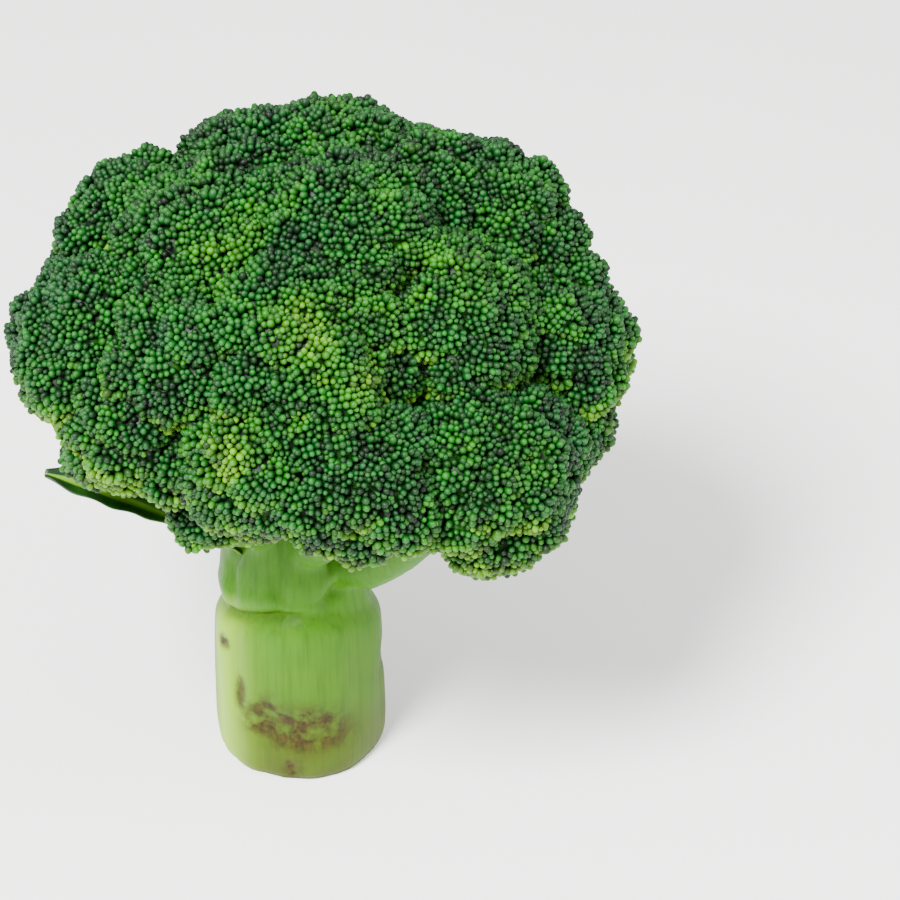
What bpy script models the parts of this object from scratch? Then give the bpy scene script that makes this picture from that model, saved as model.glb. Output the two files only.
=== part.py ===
"""Broccoli head, standing on its cut stem.

A thick stem carries side branches, and each branch carries one floret, a tight dome of flower
buds. The domes press against each other and together make the crown. A small leaf grows out
under the crown's left rim. Lengths are metres, +Z is up, and the origin is the middle of the
stem's cut face. Bearings are degrees round the stem: 0 is the front (-Y) and 90 is +X.
"""

import math

import bmesh
import bpy
from mathutils import Matrix, Vector

MM = 0.001
GAP = 0.4 * MM  # left between pieces that touch
CROWN_LEAN = Vector((6.5 * MM, 0, 0))  # the crown's middle is a little to the right of the stem's

STEM_SIDES = 28
# Height and radius up the stem: the cut edge, the thick foot, the ledge of an old leaf, the
# waist, the swelling where the lower branches leave, and the taper inside the crown.
STEM_PROFILE_MM = (
    (0, 20.3), (1.2, 21.4), (8, 21.8), (22, 21.7), (36, 21.2), (40.5, 18.9), (50, 18.4),
    (60, 18.6), (70, 17.4), (84, 14.6), (98, 11.2), (112, 8.4), (122, 6.8),
)

DOME_SIDES = 20
DOME_RING_ANGLES = (20, 40, 60, 80, 98)  # degrees from the dome's top to its rim
NECK_DEPTH = 0.95  # from the dome's centre down to its neck, as a share of its radius
NECK_RADIUS = 0.2  # of the dome's radius
LEAST_NECK = 2.5 * MM
DOME_UPTURN = 0.35  # how far a dome turns up from its branch's line

LEAF_ROUTE_MM = ((-11, -4, 60), (-28, -9, 80), (-44, -13, 90), (-63, -16, 97))
LEAF_LENGTH_STEPS = 14
LEAF_HALF_WIDTHS_MM = (2.6, 2.4, 3.2, 4.2, 3.6, 0.9)  # from the stem to the tip
LEAF_THICKNESS = 1.2 * MM

BRANCH_POINTS = 9
BRANCH_RESOLUTION = 2  # gives eight sides
BRANCH_FOOT = 1.3  # how much thicker a branch is where it leaves the stem
BRANCH_SPREAD = 0.25  # how far a branch leans outward as it leaves

# One row for each floret: its name, then the dome's bearing, its distance from the crown's
# axis, its height and its radius in mm, then what carries its branch, and where: a height up
# the stem in mm, or a share of the way along another floret's branch.
FLORETS = (
    ("front_centre", -6, 32, 140, 28, "stem", 78),
    ("front_right_low", 46, 54, 111, 27, "stem", 50),
    ("front_low", 10, 51, 120, 22, "stem", 61),
    ("front_low_left", -17, 51, 123, 18, "front_centre", 0.4),
    ("front_inner_left", -35, 50, 118, 12, "stem", 64),
    ("hanging", -38, 45, 98, 9, "front_inner_left", 0.25),
    ("left_front", -46, 42, 141, 20, "left", 0.4),
    ("left_front_low", -54, 55, 124, 17, "left", 0.6),
    ("left_rim_low", -66, 57, 111, 11, "left", 0.25),
    ("left", -78, 54, 134, 24, "stem", 66),
    ("left_upper", -80, 24, 154, 24, "stem", 95),
    ("left_back_upper", -112, 46, 148, 21, "left_upper", 0.25),
    ("left_back", -112, 55, 117, 24, "left", 0.35),
    ("right_front", 60, 37, 142, 24, "stem", 100),
    ("right", 86, 57, 127, 24, "stem", 62),
    ("right_low", 72, 58, 111, 17, "right", 0.5),
    ("right_upper", 116, 30, 155, 22, "top_back_right", 0.4),
    ("right_back_upper", 106, 48, 148, 23, "stem", 86),
    ("right_back", 120, 55, 120, 24, "right", 0.35),
    ("top", 50, 10, 156, 26, "stem", 118),
    ("top_back_left", -150, 26, 155, 24, "top_back_right", 0.25),
    ("top_back_right", 160, 25, 156, 24, "stem", 92),
    ("back_upper_left", -155, 42, 140, 24, "stem", 82),
    ("back_upper_right", 150, 42, 142, 24, "stem", 72),
    ("back_left", -148, 54, 117, 24, "stem", 58),
    ("back_right", 152, 54, 116, 24, "stem", 62),
    ("back", 180, 53, 117, 24, "back_right", 0.3),
)

# Branches that climb past a lower dome and press a groove into its inner side: the branch, then
# the dome.
GROOVES = (
    ("front_inner_left", "hanging"),
    ("left_front_low", "left_rim_low"),
    ("left_back_upper", "left_back"),
    ("right_back_upper", "right"),
    ("right_back_upper", "right_back"),
    ("top_back_left", "back_upper_left"),
    ("back_upper_left", "back_left"),
    ("back_upper_right", "back_right"),
)


def material(name, colour, roughness):
    made = bpy.data.materials.new(name)
    made.use_nodes = True
    shader = made.node_tree.nodes["Principled BSDF"]
    shader.inputs["Base Color"].default_value = (*colour, 1)
    shader.inputs["Roughness"].default_value = roughness
    shader.inputs["Metallic"].default_value = 0
    return made


def link(name, mesh, collection, look=None):
    """A new object that holds the mesh, in the collection."""
    obj = bpy.data.objects.new(name, mesh)
    collection.objects.link(obj)
    if look:
        mesh.materials.append(look)
    return obj


def turned(name, profile, sides):
    """A mesh turned about Z from a profile of (radius, height) that starts and ends on the axis."""
    bm = bmesh.new()
    points = [bm.verts.new((radius, 0, height)) for radius, height in profile]
    edges = [bm.edges.new(pair) for pair in zip(points, points[1:])]
    bmesh.ops.spin(
        bm, geom=points + edges, cent=(0, 0, 0), axis=(0, 0, 1), angle=math.tau,
        steps=sides, use_merge=True,
    )
    bmesh.ops.remove_doubles(bm, verts=bm.verts, dist=0.01 * MM)
    bmesh.ops.recalc_face_normals(bm, faces=bm.faces)
    mesh = bpy.data.meshes.new(name)
    bm.to_mesh(mesh)
    bm.free()
    return mesh


def stem_mesh(name, grown_by=0.0):
    """The stem, a little out of round. grown_by makes the larger one that the branches are cut with."""
    profile = [(radius * MM + grown_by, height * MM) for height, radius in STEM_PROFILE_MM]
    top = profile[-1]
    profile[-1] = (top[0], top[1] + grown_by)
    profile = [(0, profile[0][1]), *profile, (0, profile[-1][1])]
    mesh = turned(name, profile, STEM_SIDES)
    for vert in mesh.vertices:
        x, y, z = vert.co
        turn = math.atan2(y, x)
        swell = 1 + 0.025 * math.cos(2 * turn + 0.6) + 0.015 * math.cos(5 * turn + z / (30 * MM))
        vert.co = (x * swell, y * swell, z)
    return mesh


def place(bearing, reach, height):
    """The point at that bearing and distance from the crown's axis, at that height."""
    turn = math.radians(bearing)
    return CROWN_LEAN + Vector((reach * math.sin(turn), -reach * math.cos(turn), height))


def bezier(start, first, second, end, t):
    """The point at share t of the way along a cubic curve."""
    near = start * (1 - t) ** 3 + first * 3 * t * (1 - t) ** 2
    return near + second * 3 * t**2 * (1 - t) + end * t**3


def between(values, t):
    """The value at share t of the way through evenly spaced values."""
    place_in_list = t * (len(values) - 1)
    step = min(int(place_in_list), len(values) - 2)
    return values[step] + (values[step + 1] - values[step]) * (place_in_list - step)


class Floret:
    """One dome's place and size, and the line of the branch under it."""

    def __init__(self, name, bearing, reach, height, radius, carrier, where):
        self.name = name
        self.centre = place(bearing, reach * MM, height * MM)
        self.radius = radius * MM
        self.carrier = carrier
        self.where = where
        self.neck_radius = max(self.radius * NECK_RADIUS, LEAST_NECK)
        self.foot = BRANCH_FOOT if carrier == "stem" else 1.0

    def grow(self, florets):
        """Lays out the branch, from the middle of what carries it to just under the neck."""
        if self.carrier == "stem":
            start = Vector((0, 0, self.where * MM))
        else:
            start = florets[self.carrier].route[round(self.where * (BRANCH_POINTS - 1))]
        self.axis = ((self.centre - start).normalized() + Vector((0, 0, DOME_UPTURN))).normalized()
        self.neck = self.centre - self.axis * self.radius * NECK_DEPTH
        end = self.neck - self.axis * GAP
        straight = end - start
        outward = Vector((straight.x, straight.y, 0)).normalized()
        first = start + (straight + outward * straight.length * BRANCH_SPREAD) / 3
        second = end - self.axis * straight.length / 3
        self.route = [
            bezier(start, first, second, end, i / (BRANCH_POINTS - 1))
            for i in range(BRANCH_POINTS)
        ]

    def frame(self):
        """The matrix that puts a dome made upright at the origin in its place."""
        turn = self.axis.to_track_quat("Z", "Y").to_matrix().to_4x4()
        return Matrix.Translation(self.centre) @ turn


def dome_mesh(floret):
    """The floret's dome of buds, narrowing below its rim to the neck that its branch meets."""
    radius = floret.radius
    arc = [
        (radius * math.sin(math.radians(a)), radius * math.cos(math.radians(a)))
        for a in DOME_RING_ANGLES
    ]
    neck = -radius * NECK_DEPTH
    profile = [(0, radius), *arc, (floret.neck_radius, neck), (0, neck)]
    return turned(floret.name, profile, DOME_SIDES)


def cut_by_neighbours(mesh, floret, florets):
    """Cuts the dome flat where it presses on each neighbour, on the plane where the spheres meet."""
    to_local = floret.frame().inverted()
    bm = bmesh.new()
    bm.from_mesh(mesh)
    for other in florets:
        apart = other.centre - floret.centre
        distance = apart.length
        if other is floret or distance > floret.radius + other.radius + GAP:
            continue
        share = (distance**2 + floret.radius**2 - other.radius**2) / (2 * distance)
        normal = apart.normalized()
        point = floret.centre + normal * (share - GAP / 2)
        cut = bmesh.ops.bisect_plane(
            bm, geom=[*bm.verts, *bm.edges, *bm.faces], dist=0.001 * MM,
            plane_co=to_local @ point, plane_no=to_local.to_3x3() @ normal, clear_outer=True,
        )
        rim = [e for e in cut["geom_cut"] if isinstance(e, bmesh.types.BMEdge)]
        if rim:
            bmesh.ops.contextual_create(bm, geom=rim)
    bmesh.ops.dissolve_degenerate(bm, dist=0.02 * MM, edges=bm.edges)
    bmesh.ops.recalc_face_normals(bm, faces=bm.faces)
    bm.to_mesh(mesh)
    bm.free()


def make_floret(floret, florets, collection, look):
    mesh = dome_mesh(floret)
    cut_by_neighbours(mesh, floret, florets)
    obj = link("floret_" + floret.name, mesh, collection, look)
    obj.matrix_world = floret.frame()
    mesh.shade_smooth()
    mesh.set_sharp_from_angle(angle=math.radians(40))
    return obj


def branch_mesh(name, floret, grown_by=0.0):
    """The branch's tapered tube. grown_by makes the larger one that its own branches are cut with."""
    curve = bpy.data.curves.new(name, "CURVE")
    curve.dimensions = "3D"
    curve.bevel_depth = floret.neck_radius
    curve.bevel_resolution = BRANCH_RESOLUTION
    curve.use_fill_caps = True
    line = curve.splines.new("POLY")
    line.points.add(BRANCH_POINTS - 1)
    route = [*floret.route[:-1], floret.route[-1] + floret.axis * grown_by]
    for i, point in enumerate(route):
        line.points[i].co = (*point, 1)
        thickness = floret.foot + (1 - floret.foot) * i / (BRANCH_POINTS - 1)
        line.points[i].radius = thickness + grown_by / floret.neck_radius
    guide = bpy.data.objects.new(name, curve)
    bpy.context.scene.collection.objects.link(guide)
    graph = bpy.context.evaluated_depsgraph_get()
    mesh = bpy.data.meshes.new_from_object(guide.evaluated_get(graph))
    bpy.data.objects.remove(guide)
    bm = bmesh.new()
    bm.from_mesh(mesh)
    bmesh.ops.remove_doubles(bm, verts=bm.verts, dist=0.01 * MM)
    bmesh.ops.recalc_face_normals(bm, faces=bm.faces)
    bm.to_mesh(mesh)
    bm.free()
    return mesh


def make_cutter(name, mesh, collection):
    obj = link(name, mesh, collection)
    obj.hide_render = True
    obj.display_type = "WIRE"
    return obj


def cut_with(obj, cutter):
    """Cuts away what reaches into the cutter."""
    trim = obj.modifiers.new(cutter.name, "BOOLEAN")
    trim.operation = "DIFFERENCE"
    trim.solver = "EXACT"
    trim.object = cutter


def make_leaf(stem_cutter, collection, look):
    """A narrow curved leaf: a flat strip laid along its route, given width and thickness."""
    route = [Vector(point) * MM for point in LEAF_ROUTE_MM]
    bm = bmesh.new()
    bmesh.ops.create_grid(bm, x_segments=LEAF_LENGTH_STEPS, y_segments=2, size=1)
    for vert in bm.verts:
        t = (vert.co.x + 1) / 2
        across = vert.co.y
        middle = bezier(*route, t)
        along = (bezier(*route, min(t + 0.01, 1)) - bezier(*route, max(t - 0.01, 0))).normalized()
        side = along.cross(Vector((0, 0, 1))).normalized()
        lift = side.cross(along)
        half_width = between(LEAF_HALF_WIDTHS_MM, t) * MM
        vert.co = middle + side * half_width * across + lift * half_width * 0.5 * across**2
    mesh = bpy.data.meshes.new("leaf_left")
    bm.to_mesh(mesh)
    bm.free()
    leaf = link("leaf_left", mesh, collection, look)
    thick = leaf.modifiers.new("thickness", "SOLIDIFY")
    thick.thickness = LEAF_THICKNESS
    thick.offset = 0
    cut_with(leaf, stem_cutter)


def main():
    for obj in list(bpy.data.objects):
        bpy.data.objects.remove(obj)
    scene = bpy.context.scene
    head = bpy.data.collections.new("broccoli_head")
    cutters = bpy.data.collections.new("cutters")
    scene.collection.children.link(head)
    scene.collection.children.link(cutters)
    flesh = material("stem_flesh", (0.30, 0.48, 0.10), 0.5)
    buds = material("flower_buds", (0.05, 0.16, 0.04), 0.7)

    florets = {row[0]: Floret(*row) for row in FLORETS}
    for floret in sorted(florets.values(), key=lambda f: f.carrier != "stem"):
        floret.grow(florets)
    stem = link("stem", stem_mesh("stem"), head, flesh)
    stem.data.shade_smooth()
    stem.data.set_sharp_from_angle(angle=math.radians(50))
    clearance = {"stem": make_cutter("stem_clearance", stem_mesh("stem_clearance", GAP), cutters)}
    for name in sorted({f.carrier for f in florets.values()} - {"stem"} | dict(GROOVES).keys()):
        mesh = branch_mesh(name + "_clearance", florets[name], GAP)
        clearance[name] = make_cutter(name + "_clearance", mesh, cutters)
    for floret in florets.values():
        dome = make_floret(floret, florets.values(), head, buds)
        for passing, grooved in GROOVES:
            if grooved == floret.name:
                cut_with(dome, clearance[passing])
        name = "branch_" + floret.name
        branch = link(name, branch_mesh(name, floret), head, flesh)
        for cutter in sorted({"stem", floret.carrier}):
            cut_with(branch, clearance[cutter])
    make_leaf(clearance["stem"], head, material("leaf_blade", (0.10, 0.30, 0.05), 0.5))


main()
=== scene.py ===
import math
import random

import bmesh
import bpy
import numpy as np
from mathutils import Matrix, Quaternion, Vector, noise
from mathutils.kdtree import KDTree


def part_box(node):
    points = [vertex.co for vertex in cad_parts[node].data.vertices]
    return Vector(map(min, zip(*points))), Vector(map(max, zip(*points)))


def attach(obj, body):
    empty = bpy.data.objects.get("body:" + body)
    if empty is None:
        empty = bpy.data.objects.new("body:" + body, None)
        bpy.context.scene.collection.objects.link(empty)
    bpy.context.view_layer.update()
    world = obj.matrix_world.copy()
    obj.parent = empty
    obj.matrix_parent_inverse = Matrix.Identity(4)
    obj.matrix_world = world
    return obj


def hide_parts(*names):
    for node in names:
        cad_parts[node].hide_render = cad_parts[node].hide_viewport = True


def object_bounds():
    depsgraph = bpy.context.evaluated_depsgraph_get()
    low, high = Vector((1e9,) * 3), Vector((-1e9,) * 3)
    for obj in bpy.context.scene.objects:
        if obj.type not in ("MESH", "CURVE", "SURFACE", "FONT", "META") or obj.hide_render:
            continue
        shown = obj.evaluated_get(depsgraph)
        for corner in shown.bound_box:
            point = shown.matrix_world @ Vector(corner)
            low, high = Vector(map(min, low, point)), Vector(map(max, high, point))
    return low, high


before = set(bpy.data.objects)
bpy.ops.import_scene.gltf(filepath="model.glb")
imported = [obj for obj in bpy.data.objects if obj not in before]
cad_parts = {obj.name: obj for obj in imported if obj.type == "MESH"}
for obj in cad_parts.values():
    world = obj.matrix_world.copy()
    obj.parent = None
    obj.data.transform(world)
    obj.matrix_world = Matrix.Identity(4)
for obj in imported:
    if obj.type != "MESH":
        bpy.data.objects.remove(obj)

CAD_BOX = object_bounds()
MM = 0.001
UP = Vector((0, 0, 1))
CROWN_MIDDLE = (CAD_BOX[0] + CAD_BOX[1]) * 0.5
CROWN_MIDDLE.z = 0
GOLDEN_TURN = math.pi * (3 - math.sqrt(5))

# The crown: florets hold sprigs, small domes of buds, and the buds on them sit in clumps.
SPRIG_PITCH = 11.5 * MM
SPRIG_RADII = (7.2 * MM, 9.4 * MM)
SPRIG_RISE_MM = (-1.3, 1.1)  # how far sprigs stand in or out of their floret's dome
SPRIG_STRAY = 0.12  # how far a sprig's direction strays from its even place
SPRIG_CROWDING = 0.87  # the room each sprig takes, in square pitches
SPRIG_LIMIT = math.radians(104)  # how far round its floret's axis the last sprigs sit
CREASE_REACH = 7 * MM  # how near a crease between florets a sprig is lifted, to fill the crease
CREASE_LIFT = 3.2 * MM
CREASE_OVERLAP = 4.5 * MM  # how far past the middle of a crease sprigs still grow
CROWN_ROOT = 20 * MM  # how far below the florets' middle the lifted sprigs spread from
BUD_PITCH = 1.66 * MM
BUD_WIDTH = 2.15 * MM
BUD_LENGTH = 2.9 * MM
BUD_TAPER = 0.14  # how much narrower its tip is than its middle
BUD_BLUNTNESS = 0.46  # where the tip is cut off, in bud lengths from the middle
BUD_CROWDING = 0.866  # the room each bud takes, in square pitches
BUD_SINK = 0.5 * MM  # how far inside another sprig's ball a bud may sit
BUD_STRAY = 0.13  # how far a bud strays from its even place, as a share of the pitch
SOWING_GAPS = (0.68, 0.78, 0.78)  # least gap at each sowing, in pitches: the later ones fill bare places
BUD_STAGGER = 0.32 * MM  # how much some buds stand above the others
RIM_THINNING = 0.3  # the share of buds missing round a sprig's rim, where it turns stalky
RIM_START = 0.05  # where the rim begins, as the cosine of the turn from the sprig's axis
BUD_LIMIT = math.radians(106)  # how far round its sprig's axis the last buds sit
CLUMP_PITCH = 5.4 * MM
CLUMP_RISE = 0.75 * MM  # from the edge of a clump up to its middle
CLUMP_EDGE = 0.62  # how far from its middle a clump's edge is, in clump pitches
CLUMP_TILT = 0.55  # how strongly a clump's outer buds lean outward
BROAD_TONE = 22 * MM  # the size of the crown's broad changes of green, and of the finer ones
FINE_TONE = 7 * MM
FLESH_DEPTH = 1.1 * MM  # from the buds' middles down to the flesh they grow on

# Where the crown has begun to ripen: bearing in degrees, height and size in mm, and how much.
RIPE_PATCHES = (
    (-5, 160, 8, 0.5), (-20, 135, 8, 0.55), (-40, 170, 8, 0.35), (-45, 120, 8, 0.25),
    (-65, 120, 8, 0.35), (25, 160, 9, 0.3), (10, 150, 6, 0.35), (50, 160, 11, 0.25),
    (110, 150, 9, 0.35), (150, 130, 10, 0.35), (-150, 145, 9, 0.35), (-115, 120, 9, 0.35),
    (180, 170, 10, 0.3), (85, 120, 9, 0.35),
)

STALK_VOXEL = 1.32 * MM
SPRIG_STALK_RADIUS = 1.6 * MM


def linear(code):
    """A linear colour from an sRGB hex code."""
    parts = [int(code[i : i + 2], 16) / 255 for i in (1, 3, 5)]
    return tuple(c / 12.92 if c <= 0.04045 else ((c + 0.055) / 1.055) ** 2.4 for c in parts) + (1,)


def add(tree, kind, inputs, out=0, stops=(), **settings):
    """Adds a node with its settings, its colour stops and its inputs, each linked to a socket or
    set to a value. Returns the output asked for."""
    made = tree.nodes.new("ShaderNode" + kind)
    for name, value in settings.items():
        setattr(made, name, value)
    for name, value in inputs.items():
        if isinstance(value, bpy.types.NodeSocket):
            tree.links.new(value, made.inputs[name])
        else:
            made.inputs[name].default_value = value
    for position, _ in stops[2:]:
        made.color_ramp.elements.new(position)
    for i, (position, code) in enumerate(stops):
        made.color_ramp.elements[i].position = position
        made.color_ramp.elements[i].color = linear(code)
    return made.outputs[out]


def start_material(name, **shader_values):
    """A new material, its tree and its shader, with the shader's uniform values set."""
    made = bpy.data.materials.new(name)
    made.use_nodes = True
    shader = made.node_tree.nodes["Principled BSDF"]
    for key, value in shader_values.items():
        shader.inputs[key.replace("_", " ")].default_value = value
    return made, made.node_tree, shader


# ---------------------------------------------------------------- materials

# On a colour Mix node, input 0 is the factor, 6 and 7 are the colours, and output 2 is the result.


def make_bud_material():
    """Closed broccoli buds: green sepals under a thin wax bloom, which gives a dull, broad highlight.
    The tips are painted paler and greyer as a painted highlight. The buds' lower sides and the flesh
    between them are painted dark as painted shade between the buds, and the shade attribute paints
    further shade."""
    made, tree, shader = start_material("waxy_green_buds", Roughness=0.5, Specular_IOR_Level=0.2)
    ripeness = add(tree, "Attribute", {}, "Fac", attribute_name="ripeness")
    height = add(tree, "Attribute", {}, "Fac", attribute_name="height")
    shade = add(tree, "Attribute", {}, "Fac", attribute_name="shade")
    sepals = add(tree, "ValToRGB", {"Fac": ripeness}, stops=(
        (0.0, "#004018"), (0.3, "#004a0a"), (0.5, "#0b5600"), (0.75, "#2a6c00"), (1.0, "#568800"),
    ))
    # Painted shade: low on each bud, and on the flesh, the colour is darkened as the shade between buds.
    bud_base_painted_shade = add(tree, "Mix", {0: 1.0, 6: sepals, 7: linear("#487a48")}, 2,
               data_type="RGBA", blend_type="MULTIPLY")
    rise = add(tree, "ValToRGB", {"Fac": height}, stops=((0.3, "#000000"), (0.85, "#ffffff")))
    along = add(tree, "Mix", {0: rise, 6: bud_base_painted_shade, 7: sepals}, 2, data_type="RGBA")
    # Painted highlight: the top of each bud is paled towards grey-green.
    tip_painted_highlight = add(tree, "Mix", {0: 0.12, 6: sepals, 7: linear("#7fae70")}, 2, data_type="RGBA")
    tip = add(tree, "ValToRGB", {"Fac": height}, stops=((0.8, "#000000"), (1.0, "#ffffff")))
    with_painted_tip_highlight = add(tree, "Mix", {0: tip, 6: along, 7: tip_painted_highlight}, 2, data_type="RGBA")
    # Painted shade: the shade attribute darkens the buds and the flesh towards grey.
    painted_shade_dimming = add(tree, "ValToRGB", {"Fac": shade}, stops=((0.0, "#565656"), (1.0, "#ffffff")))
    toned = add(tree, "Mix", {0: 1.0, 6: with_painted_tip_highlight, 7: painted_shade_dimming}, 2,
                data_type="RGBA", blend_type="MULTIPLY")
    tree.links.new(toned, shader.inputs["Base Color"])
    return made


def make_stalk_material():
    """Broccoli stem: smooth, firm skin over watery flesh, greener in clouds, painted darker towards the
    crown as painted shade, and painted paler up the side facing the key light as painted light, partly
    its wax bloom.
    It has fine strands up its length and brown leaf scars, whose brown is partly painted shade in the
    groove above the ledge, and pale pith where it is cut."""
    made, tree, shader = start_material(
        "waxy_stem_skin", Roughness=0.5, Specular_IOR_Level=0.14, Subsurface_Weight=0.06,
        Subsurface_Scale=2 * MM,
    )
    shader.inputs["Subsurface Radius"].default_value = (1.0, 1.0, 0.3)
    place = add(tree, "TexCoord", {}, "Object")
    up = add(tree, "SeparateXYZ", {"Vector": place}, "Z")
    height = add(tree, "MapRange", {"Value": up, "From Min": 0.0, "From Max": 120 * MM})
    # Olive low down. The skin is painted darker towards the crown, as painted shade under it.
    skin = add(tree, "ValToRGB", {"Fac": height}, stops=(
        (0.0, "#3a4000"), (0.11, "#3a4c00"), (0.19, "#385c00"), (0.32, "#386200"), (0.45, "#366a00"),
        (1.0, "#1e4c00"),
    ))
    cloud = add(tree, "TexNoise", {"Vector": place, "Scale": 90.0, "Detail": 3.0})
    cloudy = add(tree, "ValToRGB", {"Fac": cloud}, stops=((0.35, "#000000"), (0.75, "#808080")))
    skin = add(tree, "Mix", {0: cloudy, 6: skin, 7: linear("#4f7a00")}, 2, data_type="RGBA")
    drawn_out = add(tree, "Mapping", {"Vector": place, "Scale": (1.0, 1.0, 0.06)})
    strands = add(tree, "TexNoise", {"Vector": drawn_out, "Scale": 900.0, "Detail": 2.0})
    streak = add(tree, "ValToRGB", {"Fac": strands}, stops=((0.45, "#000000"), (0.75, "#ffffff")))
    faint = add(tree, "Math", {0: streak, 1: 0.4}, operation="MULTIPLY")
    skin = add(tree, "Mix", {0: faint, 6: skin, 7: linear("#1f4400")}, 2, data_type="RGBA")
    # Painted light: the skin is painted paler up the side facing the key light, partly its wax bloom.
    pale = add(tree, "Attribute", {}, "Fac", attribute_name="pale")
    skin = add(tree, "Mix", {0: pale, 6: skin, 7: linear("#86ae20")}, 2, data_type="RGBA")
    # Brown leaf scars. In the groove above the ledge the same brown is partly painted shade.
    scar = add(tree, "Attribute", {}, "Fac", attribute_name="scar")
    patchy = add(tree, "TexNoise", {"Vector": place, "Scale": 260.0, "Detail": 3.0})
    broken = add(tree, "ValToRGB", {"Fac": patchy}, stops=((0.3, "#606060"), (0.5, "#ffffff")))
    scarred = add(tree, "Math", {0: scar, 1: broken}, operation="MULTIPLY")
    grit = add(tree, "TexNoise", {"Vector": place, "Scale": 700.0, "Detail": 4.0})
    corky = add(tree, "ValToRGB", {"Fac": grit}, stops=(
        (0.3, "#1a1402"), (0.5, "#2f2504"), (0.75, "#3c3a06"),
    ))
    skin = add(tree, "Mix", {0: scarred, 6: skin, 7: corky}, 2, data_type="RGBA")
    reach = add(tree, "VectorMath", {0: place}, "Value", operation="LENGTH")
    from_middle = add(tree, "Math", {0: reach, 1: 22 * MM}, operation="DIVIDE")
    pith = add(tree, "ValToRGB", {"Fac": from_middle}, stops=(
        (0.0, "#b4c487"), (0.6, "#aabf78"), (0.76, "#86a844"), (0.84, "#9fb866"), (0.95, "#6c9220"),
    ))
    cut = add(tree, "Attribute", {}, "Fac", attribute_name="cut")
    skin = add(tree, "Mix", {0: cut, 6: skin, 7: pith}, 2, data_type="RGBA")
    tree.links.new(skin, shader.inputs["Base Color"])
    bump = add(tree, "Bump", {"Height": strands, "Strength": 0.6, "Distance": 0.25 * MM})
    tree.links.new(bump, shader.inputs["Normal"])
    return made


def make_leaf_material():
    """A small broccoli leaf: blue-green blade with a pale midrib and a matt wax bloom."""
    made, tree, shader = start_material("waxy_leaf_blade", Roughness=0.5, Specular_IOR_Level=0.35)
    across = add(tree, "Attribute", {}, "Fac", attribute_name="across")
    along = add(tree, "Attribute", {}, "Fac", attribute_name="along")
    place = add(tree, "TexCoord", {}, "Object")
    blade = add(tree, "ValToRGB", {"Fac": along}, stops=(
        (0.0, "#4f7800"), (0.4, "#245804"), (0.62, "#0a3c06"), (1.0, "#021c04"),
    ))
    mottle = add(tree, "TexNoise", {"Vector": place, "Scale": 350.0, "Detail": 3.0})
    mottled = add(tree, "ValToRGB", {"Fac": mottle}, stops=((0.4, "#000000"), (0.8, "#888888")))
    blade = add(tree, "Mix", {0: mottled, 6: blade, 7: linear("#2f6418")}, 2, data_type="RGBA")
    rib = add(tree, "ValToRGB", {"Fac": across}, stops=(
        (0.0, "#ffffff"), (0.16, "#ffffff"), (0.3, "#000000"),
    ))
    ribbed = add(tree, "Mix", {0: rib, 6: blade, 7: linear("#5c8a1c")}, 2, data_type="RGBA")
    tree.links.new(ribbed, shader.inputs["Base Color"])
    bump = add(tree, "Bump", {"Height": mottle, "Strength": 0.3, "Distance": 0.2 * MM})
    tree.links.new(bump, shader.inputs["Normal"])
    return made


# ---------------------------------------------------------------- the crown's layout


def ball_through(points):
    """Centre and radius of the ball that most of the points lie on."""
    kept = points
    for _ in range(12):
        table = np.c_[2 * kept, np.ones(len(kept))]
        answer = np.linalg.lstsq(table, (kept**2).sum(1), rcond=None)[0]
        centre = answer[:3]
        radius = math.sqrt(answer[3] + centre @ centre)
        error = abs(np.linalg.norm(points - centre, axis=1) - radius)
        kept = points[error <= np.quantile(error, 0.7)]
    return Vector(centre), radius


def bearing_of(x, y):
    """The bearing round the stem, in degrees: 0 at the front, and positive towards +X."""
    return math.degrees(math.atan2(x, -y))


def turn_between(bearing, other):
    """Degrees from the other bearing to this one, from -180 to 180."""
    return (bearing - other + 180) % 360 - 180


def hump(distance, width):
    """A smooth hump, 1 in its middle and fading out over its width."""
    return math.exp(-((distance / width) ** 2))


class Floret:
    """Where one floret's dome is, and the end of the branch that carries it."""

    def __init__(self, node):
        self.name = node.name.removeprefix("floret_")
        self.node = node.name
        self.random = random.Random(self.name)
        points = np.array([v.co[:] for v in node.data.vertices])
        self.centre, self.radius = ball_through(points)
        ends = [v.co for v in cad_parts["branch_" + self.name].data.vertices]
        ends.sort(key=lambda point: (point - self.centre).length)
        self.foot = sum(ends[:12], Vector()) / 12
        self.axis = (self.centre - self.foot).normalized()
        self.sprigs = []
        self.buds = []

    def beyond(self, other, point):
        """How far the point is past the plane where this dome meets the other one."""
        apart = (other.centre - self.centre).length
        own = (point - self.centre).length_squared - self.radius**2
        theirs = (point - other.centre).length_squared - other.radius**2
        return (own - theirs) / (2 * apart)


class Sprig:
    """A small dome of buds, and the way it faces."""

    def __init__(self, centre, radius, floret):
        self.centre = centre
        self.radius = radius
        self.floret = floret
        root = floret.foot.lerp(floret.centre, 0.35)
        self.axis = (centre - root).normalized()


class Bud:
    """Where one bud grows, the way out of the crown there, and its sprig."""

    def __init__(self, place, normal, sprig):
        self.place = place
        self.normal = normal
        self.sprig = sprig


def spread(count, turn):
    """Directions spread evenly over the whole ball, turned by a quaternion."""
    for i in range(count):
        z = 1 - (2 * i + 1) / count
        ring = math.sqrt(1 - z * z)
        angle = GOLDEN_TURN * i
        yield turn @ Vector((ring * math.cos(angle), ring * math.sin(angle), z))


def any_turn(source):
    """A random rotation."""
    axis = Vector([source.gauss(0, 1) for _ in range(3)]).normalized()
    return Quaternion(axis, source.uniform(0, math.tau))


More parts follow.
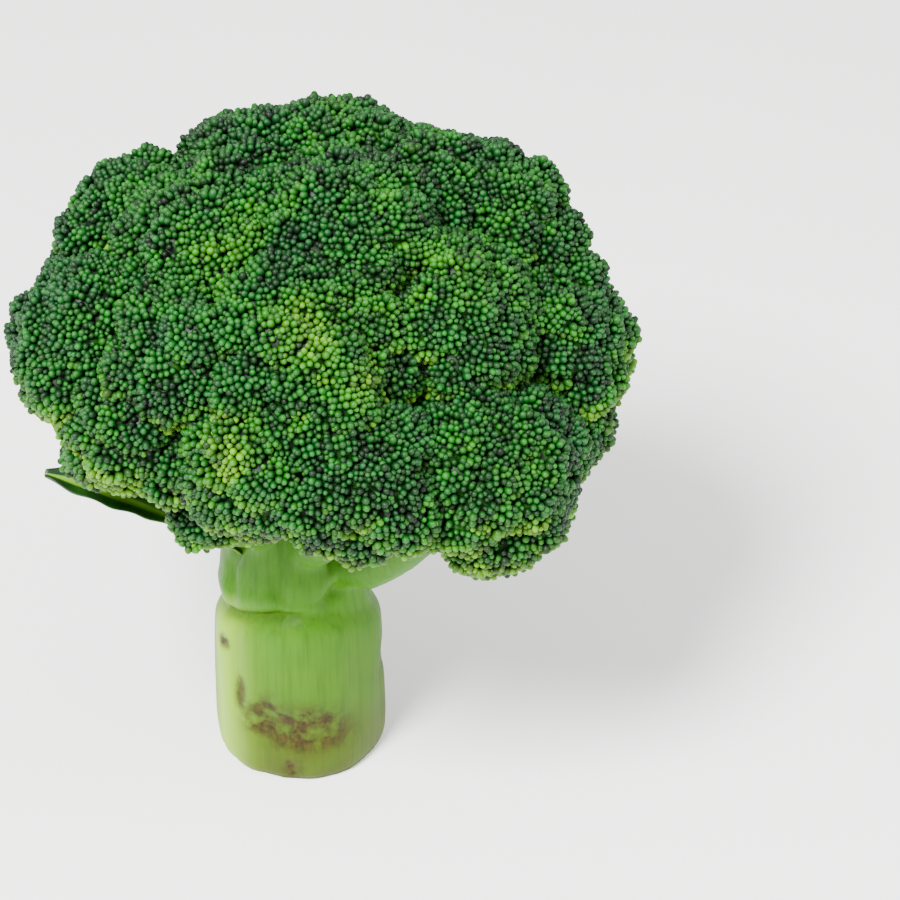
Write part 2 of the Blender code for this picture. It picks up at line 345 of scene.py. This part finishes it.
def lay_sprigs(florets):
    """Sprigs over each floret's dome, up to the creases where it meets the next ones."""
    middle = sum((floret.centre for floret in florets), Vector()) / len(florets) - UP * CROWN_ROOT
    for floret in florets:
        source = floret.random
        pitch = min(SPRIG_PITCH, floret.radius * 0.8)
        count = max(6, round(4 * math.pi * (floret.radius - 3 * MM) ** 2 / (SPRIG_CROWDING * pitch**2)))
        for way in spread(count, any_turn(source)):
            way = (way + SPRIG_STRAY * Vector([source.gauss(0, 1) for _ in range(3)])).normalized()
            if way.angle(floret.axis) > SPRIG_LIMIT:
                continue
            radius = min(source.uniform(*SPRIG_RADII), floret.radius * 0.62)
            reach = floret.radius - radius + source.uniform(*SPRIG_RISE_MM) * MM
            centre = floret.centre + way * reach
            surface = floret.centre + way * floret.radius
            near = max(floret.beyond(other, surface) for other in florets if other is not floret)
            if near < CREASE_OVERLAP:
                lift = CREASE_LIFT * min(max(1 + near / CREASE_REACH, 0), 1)
                centre += (centre - middle).normalized() * lift
                floret.sprigs.append(Sprig(centre, radius, floret))


class Grid:
    """Points kept in cells, to ask quickly whether one is near."""

    def __init__(self, cell):
        self.cell = cell
        self.cells = {}

    def key(self, point):
        return tuple(math.floor(c / self.cell) for c in point)

    def put(self, point):
        self.cells.setdefault(self.key(point), []).append(point)

    def near(self, point, distance):
        x, y, z = self.key(point)
        for i in (x - 1, x, x + 1):
            for j in (y - 1, y, y + 1):
                for k in (z - 1, z, z + 1):
                    for other in self.cells.get((i, j, k), ()):
                        if (other - point).length < distance:
                            return True
        return False


def lay_buds(florets):
    """Buds over each sprig's ball, where no other sprig covers it."""
    sprigs = [sprig for floret in florets for sprig in floret.sprigs]
    tree = KDTree(len(sprigs))
    for i, sprig in enumerate(sprigs):
        tree.insert(sprig.centre, i)
    tree.balance()
    widest = max(s.radius for s in sprigs)
    taken = Grid(BUD_PITCH)
    edge = math.cos(BUD_LIMIT)
    for sprig in sprigs:
        source = sprig.floret.random
        near = [sprigs[i] for _, i, _ in tree.find_range(sprig.centre, sprig.radius + widest)]
        near = [other for other in near if other is not sprig]
        count = round(4 * math.pi * sprig.radius**2 / (BUD_CROWDING * BUD_PITCH**2))
        for least_gap in SOWING_GAPS:
            for way in spread(count, any_turn(source)):
                across = way.dot(sprig.axis)
                if across < edge or (across < RIM_START and source.random() < RIM_THINNING):
                    continue
                stray = BUD_STRAY * BUD_PITCH
                wobble = Vector([source.gauss(0, stray) for _ in range(3)])
                place = sprig.centre + way * sprig.radius + wobble
                if any((place - o.centre).length < o.radius - BUD_SINK for o in near):
                    continue
                if taken.near(place, BUD_PITCH * least_gap):
                    continue
                taken.put(place)
                sprig.floret.buds.append(Bud(place, way, sprig))


def clump_buds(florets):
    """Raises the middles of small clumps of buds, and tips their outer buds outward."""
    buds = [bud for floret in florets for bud in floret.buds]
    order = list(buds)
    random.Random(5).shuffle(order)
    middles = []
    taken = Grid(CLUMP_PITCH)
    for bud in order:
        if not taken.near(bud.place, CLUMP_PITCH):
            taken.put(bud.place)
            middles.append(bud)
    tree = KDTree(len(middles))
    for i, bud in enumerate(middles):
        tree.insert(bud.place, i)
    tree.balance()
    for bud in buds:
        middle, index, distance = tree.find(bud.place)
        share = min(distance / (CLUMP_PITCH * CLUMP_EDGE), 1.2)
        bud.clump = index
        bud.edge = share
        rise = CLUMP_RISE * (0.45 - share**2) + BUD_STAGGER * bud.sprig.floret.random.uniform(-1, 1)
        bud.moved = bud.place + bud.normal * rise
        tilt = (bud.place - middle) / CLUMP_PITCH
        bud.axis = (bud.normal + CLUMP_TILT * tilt).normalized()


# ---------------------------------------------------------------- the crown's meshes


def bud_shape():
    """One closed bud: a small egg with a blunt tip, up +Z, one unit wide."""
    bm = bmesh.new()
    bmesh.ops.create_uvsphere(bm, u_segments=7, v_segments=5, radius=0.5)
    for vert in bm.verts:
        taper = 1 - BUD_TAPER * max(vert.co.z * 2, 0)
        up = min(vert.co.z, BUD_BLUNTNESS)
        vert.co = (vert.co.x * taper, vert.co.y * taper, up * BUD_LENGTH / BUD_WIDTH)
    mesh = bpy.data.meshes.new("bud_shape")
    bm.to_mesh(mesh)
    bm.free()
    return mesh


def numbers(mesh, name, values):
    """Gives each vertex of the mesh its value, for a material to read."""
    mesh.attributes.new(name, "FLOAT", "POINT").data.foreach_set("value", np.asarray(values, "f"))


def flesh_under(sprig, bm):
    """The flesh that a sprig's buds grow on: a ball drawn in below its rim. Returns its vertices."""
    radius = sprig.radius - FLESH_DEPTH
    made = bmesh.ops.create_uvsphere(bm, u_segments=9, v_segments=6, radius=radius)["verts"]
    for vert in made:
        drop = vert.co.normalized().dot(sprig.axis)
        if drop < -0.1:
            vert.co *= 1 + 0.55 * (drop + 0.1)
        vert.co += sprig.centre
    return made


def make_canopy(floret, shape, material):
    """One floret's buds, over the flesh they grow on."""
    source = floret.random
    bm = bmesh.new()
    ripeness, height, shade = [], [], []
    for sprig in floret.sprigs:
        for vert in flesh_under(sprig, bm):
            # Painted shade: the flesh is painted dark, as the shade between the buds. Underneath, where
            # it turns stalky, it is paler and yellower.
            above = (vert.co - sprig.centre).normalized().dot(sprig.axis)
            under = min(max((-above - 0.4) / 0.4, 0), 1)
            ripeness.append(0.35 + 0.4 * under)
            height.append(0.35 + 0.2 * under)
            shade.append(0.15 + 0.6 * under)
    rest = np.array([v.co[:] for v in shape.vertices])
    tall = rest[:, 2] / BUD_LENGTH * BUD_WIDTH + 0.5
    for bud in floret.buds:
        size = BUD_WIDTH * source.uniform(0.76, 1.1) * (1.06 - 0.14 * bud.edge)
        turn = bud.axis.to_track_quat("Z", "Y") @ Quaternion(UP, source.uniform(0, math.tau))
        place = Matrix.LocRotScale(bud.moved, turn, (size, size, size * source.uniform(0.92, 1.1)))
        placed = rest @ np.array(place.to_3x3()).T + np.array(place.translation)
        shape.vertices.foreach_set("co", placed.astype("f").ravel())
        bm.from_mesh(shape)
        ripe, light = bud_tone(bud, source)
        ripeness.extend([ripe] * len(rest))
        shade.extend([light] * len(rest))
        height.extend(tall)
    shape.vertices.foreach_set("co", rest.astype("f").ravel())
    mesh = bpy.data.meshes.new("canopy_" + floret.name)
    bm.to_mesh(mesh)
    bm.free()
    for name, values in (("ripeness", ripeness), ("height", height), ("shade", shade)):
        numbers(mesh, name, values)
    mesh.shade_smooth()
    return finish_piece(mesh, material, [floret.node])


def bud_tone(bud, source):
    """A bud's ripeness, from blue-green to yellow-green, and its lightness. Lightness varies at random,
    rises in the ripe patches, and is lowered at a clump's edge as painted shade in the creases between
    clumps.
    """
    broad = noise.noise(bud.place / BROAD_TONE + Vector((3.1, 0.4, 7.7)))
    fine = noise.noise(bud.place / FINE_TONE + Vector((8.2, 5.1, 0.6)))
    clump = random.Random(bud.clump).uniform(-1, 1)
    outer = (bud.place - bud.sprig.floret.centre).normalized()
    rim = max(0.0, math.degrees(outer.angle(bud.sprig.floret.axis)) - 78) / 40
    low = max(0.0, 0.2 - bud.normal.z)
    patch = ripe_patch(bud.place)
    ripe = 0.3 + 0.28 * broad + 0.14 * fine + 0.1 * clump + 0.3 * rim + 0.8 * low + patch
    # Painted shade: buds at a clump's edge are darkened, where the creases between clumps lie.
    light = 0.55 + 0.18 * clump + 0.3 * patch + source.uniform(-0.4, 0.4) - 0.15 * (bud.edge - 0.5)
    return min(max(ripe + source.gauss(0, 0.07), 0), 1), min(max(light, 0), 1)


def ripe_patch(place):
    """How much of the ripe patches' yellow reaches the place."""
    x, y, z = place - CROWN_MIDDLE
    bearing = bearing_of(x, y)
    most = 0.0
    for where, height, size, strength in RIPE_PATCHES:
        turn = math.radians(turn_between(bearing, where)) * math.hypot(x, y)
        away = math.hypot(turn, z - height * MM)
        most = max(most, strength * hump(away, size * MM))
    return most


def finish_piece(mesh, material, nodes):
    """An object for the mesh, riding on the one body and the nodes it replaces."""
    piece = bpy.data.objects.new(mesh.name, mesh)
    bpy.context.scene.collection.objects.link(piece)
    mesh.materials.append(material)
    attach(piece, "root")
    if nodes:
        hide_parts(*nodes)
    return piece


# ---------------------------------------------------------------- stem and branches


def tube(bm, points, radii, sides=8):
    """A closed tube along the points, its radius given at each."""
    rings = []
    for i, (point, radius) in enumerate(zip(points, radii)):
        ahead = points[min(i + 1, len(points) - 1)] - points[max(i - 1, 0)]
        place = Matrix.LocRotScale(point, ahead.to_track_quat("Z", "Y"), None)
        made = bmesh.ops.create_circle(bm, segments=sides, radius=radius, matrix=place)
        rings.append(made["verts"])
    edges = [set(e for v in ring for e in v.link_edges) for ring in rings]
    for low, high in zip(edges, edges[1:]):
        bmesh.ops.bridge_loops(bm, edges=[*low, *high])
    for ring in (rings[0], rings[-1]):
        bmesh.ops.contextual_create(bm, geom=ring)


def curve_points(start, leave, end, arrive, steps=7):
    """Points on a curve from start, leaving along one vector, to end, arriving along another."""
    first, second = start + leave, end - arrive
    points = []
    for i in range(steps):
        t = i / (steps - 1)
        near = start * (1 - t) ** 3 + first * 3 * t * (1 - t) ** 2
        points.append(near + second * 3 * t**2 * (1 - t) + end * t**3)
    return points


SHAPED_HEIGHT = 78 * MM  # the stem is shaped up to here, and between these distances from its axis
SHAPED_REACH = (12 * MM, 27 * MM)

# The lowest leaf's scar runs round the front of the stem as a slanting ledge.
LEDGE_HEIGHT = 38 * MM
LEDGE_LIFT = 5 * MM  # how far up the ledge is drawn all round
LEDGE_RISE = 8 * MM  # how much higher still at the front
LEDGE_SPREAD = 17 * MM  # how far above and below it the stem is drawn along with it
LEDGE_BEARING = 5
LEDGE_HALF_TURN = 60
LEDGE_MIDDLE = -38  # the bearing in the middle of its deep part
LEDGE_REACH = 45  # how far round to each side the deep part runs
LEDGE_FADE = 6

UNDERCUT = 1.7 * MM  # the depth of the groove above the ledge
UNDERCUT_RISE = 3.5 * MM  # from the ledge up to the groove's middle
UNDERCUT_WIDTH = 1.9 * MM
# How brown the groove is painted: partly the scars' own brown, partly painted shade in the groove.
UNDERCUT_STAIN_AND_SHADE = 0.4
BULGE = 1.4 * MM  # the swelling above the groove
BULGE_RISE = 9 * MM
BULGE_WIDTH = 6 * MM
BULGE_TURN = 25

FOLDS = 8  # grooves round the stem's upper part, between the branches that run into it
FOLD_DEPTH = 2.0 * MM
FOLD_WIDTH = 0.13  # as a share of the way from one groove to the next
FOLD_SHIFT = 0.3  # how far the first groove is turned from the back, in that share
FOLD_WANDER = 0.22
FOLD_START = 38 * MM  # the folds deepen from here up
FOLD_CLIMB = 14 * MM

RIPPLE = 0.7 * MM
RIPPLE_SIZE = 7 * MM
END_TRIM = 0.5 * MM  # taken off the rounded lower end, to leave it square
END_INSET = 0.8 * MM  # the width of the skin's edge on the cut face
# Painted light: the side facing the key light is painted paler, partly its wax bloom.
LIT_SIDE_BEARING = -68  # the stem's skin is palest up this side
LIT_SIDE_HALF_TURN = 24
LIT_SIDE_PALE_MOST = 0.85

SCARS_BELOW = 60 * MM
# Bearing round the stem in degrees; height, half width, half height and depth in mm; how brown.
SCARS = (
    (-50, 30, 1.6, 11, 0.5, 0.1),
    (-62, 33, 2.2, 1.8, 0.5, 1.0),
    (6, 15, 12, 5.5, 0.9, 1.0),
    (-24, 17, 7, 5, 0.7, 0.95),
    (-46, 22, 2, 4, 0.5, 0.9),
    (100, 24, 10, 4, 0.8, 0.6),
    (170, 34, 12, 3, 0.9, 0.55),
    (-130, 18, 9, 3.5, 0.8, 0.6),
    (-6, 4, 2.2, 3, 0.6, 1.0),
)


BUTTRESS_REACH = 24 * MM  # only branches that leave the stem within this reach and height have one
BUTTRESS_HEIGHT = 95 * MM
BUTTRESS_DEPTH = 2.2 * MM  # how far inside the branch's root it runs
BUTTRESS_DROP = 24 * MM
SKIN_GROWTH = 0.35 * MM  # how much fatter than the plain solids the stem and branches are


def add_buttress(bm, floret):
    """The ridge by which a branch runs down into the stem, where it leaves the stem low down."""
    ends = [v.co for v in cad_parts["branch_" + floret.name].data.vertices]
    ends.sort(key=lambda point: math.hypot(point.x, point.y))
    root = sum(ends[:10], Vector()) / 10
    reach = math.hypot(root.x, root.y)
    if reach > BUTTRESS_REACH or root.z > BUTTRESS_HEIGHT:
        return
    width = max((point - root).length for point in ends[:10])
    outward = Vector((root.x, root.y, 0)) / reach
    low = outward * (reach - BUTTRESS_DEPTH) + UP * (root.z - BUTTRESS_DROP)
    middle = outward * (reach - BUTTRESS_DEPTH) + UP * (root.z - 11 * MM)
    above = outward * (reach - 2 * MM) + UP * (root.z + width)
    along = root.lerp(floret.foot, 0.3)
    tube(bm, [low, middle, root - UP * 1.5 * MM, along], [0.2 * width, 0.6 * width, width, 0.9 * width])
    tube(bm, [above, root + outward * 2 * MM, along], [0.5 * width, 0.95 * width, 0.9 * width])


def make_stalk(florets, material):
    """Stem, branches and the sprigs' stalks, grown together into one smooth surface."""
    bm = bmesh.new()
    names = ["stem"] + ["branch_" + floret.name for floret in florets]
    for name in names:
        bm.from_mesh(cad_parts[name].data)
    bmesh.ops.remove_doubles(bm, verts=bm.verts, dist=0.01 * MM)
    bm.normal_update()
    for vert in bm.verts:
        vert.co += vert.normal * SKIN_GROWTH
    for floret in florets:
        add_buttress(bm, floret)
        rise = (floret.centre - floret.foot).length
        for sprig in floret.sprigs:
            way = sprig.centre - floret.foot
            points = curve_points(
                floret.foot - floret.axis * 1.5 * MM, floret.axis * rise * 0.4, sprig.centre,
                way.normalized() * way.length * 0.3,
            )
            radii = [SPRIG_STALK_RADIUS * (1.35 - 0.35 * i / 6) for i in range(7)]
            tube(bm, points, radii)
    bmesh.ops.recalc_face_normals(bm, faces=bm.faces)
    rough = bpy.data.meshes.new("stalk_rough")
    bm.to_mesh(rough)
    bm.free()
    guide = bpy.data.objects.new("stalk_rough", rough)
    bpy.context.scene.collection.objects.link(guide)
    join = guide.modifiers.new("join", "REMESH")
    join.mode = "VOXEL"
    join.voxel_size = STALK_VOXEL
    smooth = guide.modifiers.new("smooth", "SMOOTH")
    smooth.factor = 0.5
    smooth.iterations = 7
    graph = bpy.context.evaluated_depsgraph_get()
    mesh = bpy.data.meshes.new_from_object(guide.evaluated_get(graph))
    bpy.data.objects.remove(guide)
    mesh.name = "stalk"
    shape_stalk(mesh)
    square_end(mesh)
    mesh.shade_smooth()
    mesh.set_sharp_from_angle(angle=math.radians(60))
    return finish_piece(mesh, material, names)


def press_scars(vert, x, y, z, inward, mark):
    """Presses the leaf scars in at one vertex. Returns how brown it is there, at least mark."""
    for where, tall, half_width, half_height, depth, stain in SCARS:
        turn = math.radians(turn_between(bearing_of(x, y), where))
        u = turn * math.hypot(x, y) / MM / half_width
        v = (z / MM - tall + 0.12 * half_width * u * u) / half_height
        inside = math.exp(-((u * u + v * v) ** 1.5))
        vert.co += inward * depth * MM * inside
        mark = max(mark, stain * min(1, inside * 1.6))
    return mark


def shape_stalk(mesh):
    """Slants the ledge, presses the leaf scars in, folds the top of the stem, and marks for the material
    the scars, the painted shade in the groove, and the side painted pale as painted light on its lit
    side."""
    scars, lit_side_paleness = [], []
    for vert in mesh.vertices:
        x, y, z = vert.co
        mark = pale = 0.0
        if z < SHAPED_HEIGHT and SHAPED_REACH[0] < math.hypot(x, y) < SHAPED_REACH[1]:
            bearing = bearing_of(x, y)
            inward = Vector((-x, -y, 0)).normalized()
            front = hump(turn_between(bearing, LEDGE_BEARING), LEDGE_HALF_TURN)
            drawn = (LEDGE_LIFT + LEDGE_RISE * front) * hump(z - LEDGE_HEIGHT, LEDGE_SPREAD)
            above = z - LEDGE_HEIGHT - UNDERCUT_RISE
            groove = hump(above, UNDERCUT_WIDTH) * ledge_side(bearing)
            bulge = hump(above - BULGE_RISE, BULGE_WIDTH) * ledge_side(bearing + BULGE_TURN)
            climb = min(max((z - FOLD_START) / FOLD_CLIMB, 0), 1)
            wander = noise.noise(Vector((x, y, z)) / (16 * MM)) * FOLD_WANDER
            along = (bearing / 360 * FOLDS + FOLD_SHIFT + wander) % 1
            fold = hump(min(along, 1 - along), FOLD_WIDTH) * climb
            ripple = noise.noise(Vector((x, y, z * 0.25)) / RIPPLE_SIZE) * RIPPLE
            vert.co += inward * (UNDERCUT * groove - BULGE * bulge - ripple + FOLD_DEPTH * (fold - 0.2))
            vert.co.z += drawn
            # The groove takes the scars' brown: partly the scars' own colour, partly painted shade in
            # the groove.
            mark = UNDERCUT_STAIN_AND_SHADE * groove
            # Painted light: the side facing the key light is painted paler, partly its wax bloom. This
            # fades up the stem and in the groove.
            side = hump(turn_between(bearing, LIT_SIDE_BEARING), LIT_SIDE_HALF_TURN)
            pale = LIT_SIDE_PALE_MOST * side * (1 - climb) * (1 - groove)
            if z < SCARS_BELOW:
                mark = press_scars(vert, x, y, z, inward, mark)
        scars.append(mark)
        lit_side_paleness.append(pale)
    numbers(mesh, "scar", scars)
    numbers(mesh, "pale", lit_side_paleness)


def square_end(mesh):
    """Cuts the stem's lower end square, and marks the cut face for the material."""
    bm = bmesh.new()
    bm.from_mesh(mesh)
    cut_mark = bm.verts.layers.float.new("cut")
    cut = bmesh.ops.bisect_plane(
        bm, geom=[*bm.verts, *bm.edges, *bm.faces], dist=0.001 * MM, plane_co=UP * END_TRIM,
        plane_no=-UP, clear_outer=True,
    )
    rim = [edge for edge in cut["geom_cut"] if isinstance(edge, bmesh.types.BMEdge)]
    end = bmesh.ops.contextual_create(bm, geom=rim)["faces"]
    bmesh.ops.inset_region(bm, faces=end, thickness=END_INSET, use_even_offset=True)
    for vert in bm.verts:
        if vert.co.z < END_TRIM + 0.01 * MM:
            vert.co.z = 0
    for face in end:
        for vert in face.verts:
            vert[cut_mark] = 1
    bmesh.ops.recalc_face_normals(bm, faces=bm.faces)
    bm.to_mesh(mesh)
    bm.free()


def ledge_side(bearing):
    """How much of the ledge there is at that bearing: all of it at the front left, fading out."""
    turn = turn_between(bearing, LEDGE_MIDDLE)
    return 1 / (1 + math.exp((abs(turn) - LEDGE_REACH) / LEDGE_FADE))


def make_fringe(florets, material):
    """Fine stalks under the outermost buds, seen at the crown's lower edge and from below."""
    bm = bmesh.new()
    for floret in florets:
        for bud in floret.buds:
            across = bud.normal.dot(bud.sprig.axis)
            if across > 0.25 or bud.normal.z > 0.35:
                continue
            root = bud.sprig.centre - bud.sprig.axis * bud.sprig.radius * 0.45
            way = bud.moved - root
            place = Matrix.LocRotScale(root + way * 0.45, way.to_track_quat("Z", "Y"), None)
            bmesh.ops.create_cone(
                bm, cap_ends=True, segments=5, radius1=0.75 * MM, radius2=0.5 * MM,
                depth=way.length * 0.9, matrix=place,
            )
    mesh = bpy.data.meshes.new("bud_stalks")
    bm.to_mesh(mesh)
    bm.free()
    mesh.shade_smooth()
    for name in ("scar", "pale", "cut"):
        numbers(mesh, name, np.zeros(len(mesh.vertices)))
    return finish_piece(mesh, material, [])


# ---------------------------------------------------------------- leaf


LEAF_TILT = math.radians(-22)  # how far the blade is rolled, its front edge down
LEAF_STEPS = 40
LEAF_SAG = 3.5 * MM
LEAF_THICKNESS = 0.7 * MM
LEAF_WIDTH_PLACES = (0, 0.15, 0.35, 0.7, 0.88, 1)  # along the leaf, and half its width there in mm
LEAF_WIDTHS = (2.6, 2.2, 3.2, 5.4, 4.6, 1.2)


def make_leaf(material):
    """A narrow curved leaf with a midrib and a rippled edge, along its own arc."""
    low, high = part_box("leaf_left")
    base = Vector((high.x + 4 * MM, low.y * 0.3 + high.y * 0.7, low.z))
    tip = Vector((low.x, low.y * 0.7 + high.y * 0.3, high.z - 0.5 * MM))
    span = tip - base
    arc = curve_points(
        base, Vector((span.x * 0.33, span.y * 0.4, span.z * 0.55)),
        tip, Vector((span.x * 0.4, 0, span.z * 0.12)), LEAF_STEPS + 1,
    )
    arc = [point - UP * LEAF_SAG * math.sin(math.pi * i / LEAF_STEPS) for i, point in enumerate(arc)]
    widths = np.interp(np.linspace(0, 1, LEAF_STEPS + 1), LEAF_WIDTH_PLACES, LEAF_WIDTHS)
    bm = bmesh.new()
    bmesh.ops.create_grid(bm, x_segments=LEAF_STEPS, y_segments=10, size=1)
    across_of, along_of = [], []
    for vert in bm.verts:
        step = round((vert.co.x + 1) * LEAF_STEPS / 2)
        across = vert.co.y
        ahead = (arc[min(step + 1, LEAF_STEPS)] - arc[max(step - 1, 0)]).normalized()
        side = Quaternion(ahead, LEAF_TILT) @ ahead.cross(UP).normalized()
        lift = side.cross(ahead)
        half = widths[step] * MM
        ripple = 0.5 * MM * abs(across) ** 2 * math.sin(step * 0.9 + 2 * across)
        rise = 0.45 * half * across**2 + ripple - 0.45 * MM * math.exp(-((across / 0.13) ** 2))
        vert.co = arc[step] + side * half * across + lift * rise
        across_of.append(abs(across))
        along_of.append(step / LEAF_STEPS)
    mesh = bpy.data.meshes.new("leaf")
    bm.to_mesh(mesh)
    bm.free()
    numbers(mesh, "across", across_of)
    numbers(mesh, "along", along_of)
    mesh.shade_smooth()
    leaf = finish_piece(mesh, material, ["leaf_left"])
    thick = leaf.modifiers.new("thickness", "SOLIDIFY")
    thick.thickness = LEAF_THICKNESS
    thick.offset = 0
    smooth = leaf.modifiers.new("smooth", "SUBSURF")
    smooth.levels = smooth.render_levels = 1


# ---------------------------------------------------------------- studio


def make_floor():
    made, tree, shader = start_material("pale_floor", Roughness=0.7)
    place = add(tree, "TexCoord", {}, "Object")
    grain = add(tree, "TexNoise", {"Vector": place, "Scale": 4.0})
    paint = add(tree, "ValToRGB", {"Fac": grain}, stops=((0.3, "#f6f6f4"), (0.7, "#fafaf8")))
    tree.links.new(paint, shader.inputs["Base Color"])
    bm = bmesh.new()
    bmesh.ops.create_grid(bm, x_segments=1, y_segments=1, size=6)
    mesh = bpy.data.meshes.new("floor")
    bm.to_mesh(mesh)
    bm.free()
    mesh.materials.append(made)
    floor = bpy.data.objects.new("floor", mesh)
    floor.location.z = -0.2 * MM
    bpy.context.scene.collection.objects.link(floor)


def make_light(name, place, aim, size, power):
    light = bpy.data.lights.new(name, "AREA")
    light.shape = "DISK"
    light.size = size
    light.energy = power
    obj = bpy.data.objects.new(name, light)
    obj.location = place
    obj.rotation_euler = (Vector(aim) - Vector(place)).to_track_quat("-Z", "Y").to_euler()
    bpy.context.scene.collection.objects.link(obj)


ROOM_LIGHT = 1.35
LIT_POINT = (0, 0, 0.1)
KEY_PLACE = (-0.5, -0.72, 1.22)
FILL_PLACE = (1.0, -0.4, 0.9)
CAMERA_LENS = 141
CAMERA_TILT = math.radians(33)  # how far it looks down
CAMERA_DISTANCE = 0.9
AIM_RIGHT = 31.9 * MM  # from the subject to the middle of the view
AIM_DOWN = 28.6 * MM


def make_studio():
    make_floor()
    world = bpy.data.worlds.new("soft_room")
    world.use_nodes = True
    world.node_tree.nodes["Background"].inputs["Color"].default_value = (1, 1, 1, 1)
    world.node_tree.nodes["Background"].inputs["Strength"].default_value = ROOM_LIGHT
    bpy.context.scene.world = world
    make_light("key", KEY_PLACE, LIT_POINT, size=0.5, power=80)
    make_light("fill", FILL_PLACE, LIT_POINT, size=0.8, power=13)
    camera = bpy.data.cameras.new("camera")
    camera.lens = CAMERA_LENS
    obj = bpy.data.objects.new("camera", camera)
    bpy.context.scene.collection.objects.link(obj)
    bpy.context.scene.camera = obj
    low, high = CAD_BOX
    back = Vector((0, -math.cos(CAMERA_TILT), math.sin(CAMERA_TILT)))
    rise = Vector((0, math.sin(CAMERA_TILT), math.cos(CAMERA_TILT)))
    subject = Vector(((low.x + high.x) / 2, (low.y + high.y) / 2, high.z * 0.69))
    obj.location = subject + back * CAMERA_DISTANCE
    aim = subject + Vector((AIM_RIGHT, 0, 0)) - rise * AIM_DOWN
    obj.rotation_euler = (aim - obj.location).to_track_quat("-Z", "Y").to_euler()


def main():
    florets = [Floret(node) for name, node in sorted(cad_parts.items()) if name.startswith("floret_")]
    lay_sprigs(florets)
    lay_buds(florets)
    clump_buds(florets)
    buds = make_bud_material()
    stalk = make_stalk_material()
    shape = bud_shape()
    for floret in florets:
        make_canopy(floret, shape, buds)
    bpy.data.meshes.remove(shape)
    make_stalk(florets, stalk)
    make_fringe(florets, stalk)
    make_leaf(make_leaf_material())
    make_studio()


main()
